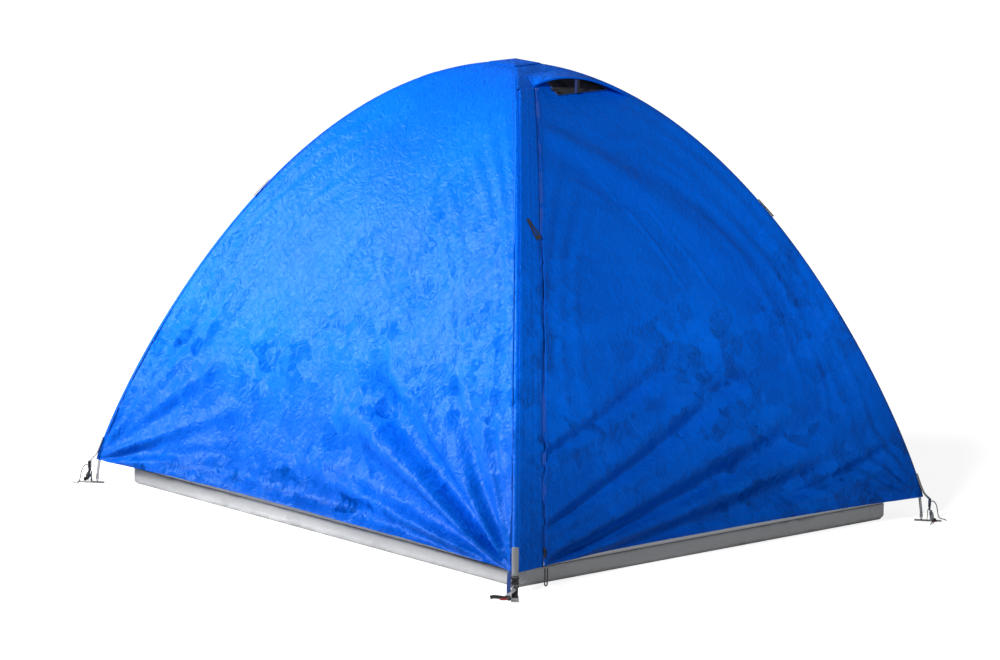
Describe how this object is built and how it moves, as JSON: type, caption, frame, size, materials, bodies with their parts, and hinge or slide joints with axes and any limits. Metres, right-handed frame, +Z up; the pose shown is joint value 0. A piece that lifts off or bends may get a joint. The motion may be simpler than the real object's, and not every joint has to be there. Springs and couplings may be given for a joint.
{
  "type": "dome tent",
  "caption": "Free-standing dome tent: crossing arched poles, blue fly with a zipped door and apex vent, pale inner tent on a tray floor, buckled webbing at the corners.",
  "frame": {"origin": "middle of the tent's footprint, on the ground", "axes": "+Z up; the door side faces -Y and the long sides face -X and +X; X runs along the short sides"},
  "size_m": [1.8804, 2.1343, 1.4281],
  "materials": {
    "fly_fabric": "coated taffeta, satin, finely crinkled",
    "inner_mesh": "fine pale breathable mesh",
    "floor_fabric": "coated tray floor, matt",
    "vent_mesh": "black insect mesh",
    "grey_webbing": "woven webbing",
    "blue_webbing": "woven webbing",
    "black_webbing": "woven webbing",
    "black_cord": "braided sheath cord",
    "zip_coil": "nylon coil on woven tape",
    "zip_metal": "black enamelled die-cast",
    "black_plastic": "moulded acetal, fine grain",
    "red_accent": "woven red tip",
    "pole_alloy": "anodised tube, satin"
  },
  "bodies": {
    "root": {"pole_a_section_1": "pole_alloy", "pole_a_section_2": "pole_alloy", "pole_a_section_3": "pole_alloy", "pole_a_section_4": "pole_alloy", "pole_a_section_5": "pole_alloy", "pole_b_section_1": "pole_alloy", "pole_b_section_2": "pole_alloy", "pole_b_section_3": "pole_alloy", "pole_b_section_4": "pole_alloy", "pole_b_section_5": "pole_alloy", "fly_panel_left": "fly_fabric", "fly_panel_right": "fly_fabric", "fly_panel_back": "fly_fabric", "crown_patch": "fly_fabric", "fly_front_strip": "fly_fabric", "fly_panel_front": "fly_fabric", "storm_flap": "fly_fabric", "fly_zip": "zip_coil", "vent_mesh": "vent_mesh", "corner_strap_front": "grey_webbing", "buckle_female_front": "black_plastic", "ground_tab_front": "grey_webbing", "pole_tip_front": "pole_alloy", "guy_tab_front": "black_webbing", "corner_strap_right": "grey_webbing", "buckle_female_right": "black_plastic", "ground_tab_right": "grey_webbing", "pole_tip_right": "pole_alloy", "guy_tab_right": "black_webbing", "corner_strap_back": "grey_webbing", "buckle_female_back": "black_plastic", "ground_tab_back": "grey_webbing", "pole_tip_back": "pole_alloy", "guy_tab_back": "black_webbing", "corner_strap_left": "grey_webbing", "buckle_female_left": "black_plastic", "ground_tab_left": "grey_webbing", "pole_tip_left": "pole_alloy", "guy_tab_left": "black_webbing", "tie_cord_right": "black_cord", "tie_cord_back": "black_cord", "tie_cord_left": "black_cord", "hem_loop": "black_cord", "inner_panel_left": "inner_mesh", "inner_panel_right": "inner_mesh", "inner_panel_back": "inner_mesh", "inner_panel_front": "inner_mesh", "inner_floor": "floor_fabric", "apex_hook": "black_plastic"},
    "fly_door": {"fly_door": "fly_fabric"},
    "zip_slider": {"zip_slider": "zip_metal"},
    "zip_puller": {"zip_puller": "zip_metal"},
    "vent_hood": {"vent_hood": "fly_fabric"},
    "vent_strut": {"vent_strut": "black_plastic"},
    "inner_door": {"inner_door": "inner_mesh"},
    "buckle_front": {"buckle_male_front": "black_plastic"},
    "buckle_right": {"buckle_male_right": "black_plastic"},
    "buckle_back": {"buckle_male_back": "black_plastic"},
    "buckle_left": {"buckle_male_left": "black_plastic"}
  },
  "joints": [
    {"name": "fly_door_swing", "type": "hinge", "parent": "root", "child": "fly_door", "pos_m": [0.1151, -0.8114, 0.5925], "axis": [-0.6986, 0.2844, 0.6565], "range_deg": [0, 100]},
    {"name": "zip_slider_travel", "type": "hinge", "parent": "root", "child": "zip_slider", "pos_m": [0.9853, 1.1134, -0.8913], "axis": [-0.772, 0.6356, 0], "range_deg": [0, 19]},
    {"name": "zip_puller_flip", "type": "hinge", "parent": "zip_slider", "child": "zip_puller", "pos_m": [-0.75389, -1.0042, 0.1287], "axis": [1, 0, 0], "range_deg": [-120, 0]},
    {"name": "vent_hood_lift", "type": "hinge", "parent": "root", "child": "vent_hood", "pos_m": [0.02, -0.13, 1.4071], "axis": [1, 0, 0], "range_deg": [-25, 0]},
    {"name": "vent_strut_fold", "type": "hinge", "parent": "vent_hood", "child": "vent_strut", "pos_m": [0.0299, -0.2572, 1.3979], "axis": [-1, 0, 0], "range_deg": [0, 75]},
    {"name": "inner_door_swing", "type": "hinge", "parent": "root", "child": "inner_door", "pos_m": [0.2364, -0.6077, 0.7226], "axis": [0.1833, -0.4743, -0.8611], "range_deg": [0, 95]},
    {"name": "buckle_front_release", "type": "slide", "parent": "root", "child": "buckle_front", "axis": [0, 0, -1], "range_m": [0, 0.018]},
    {"name": "buckle_right_release", "type": "slide", "parent": "root", "child": "buckle_right", "axis": [0, 0, -1], "range_m": [0, 0.018]},
    {"name": "buckle_back_release", "type": "slide", "parent": "root", "child": "buckle_back", "axis": [0, 0, -1], "range_m": [0, 0.018]},
    {"name": "buckle_left_release", "type": "slide", "parent": "root", "child": "buckle_left", "axis": [0, 0, -1], "range_m": [0, 0.018]}
  ]
}
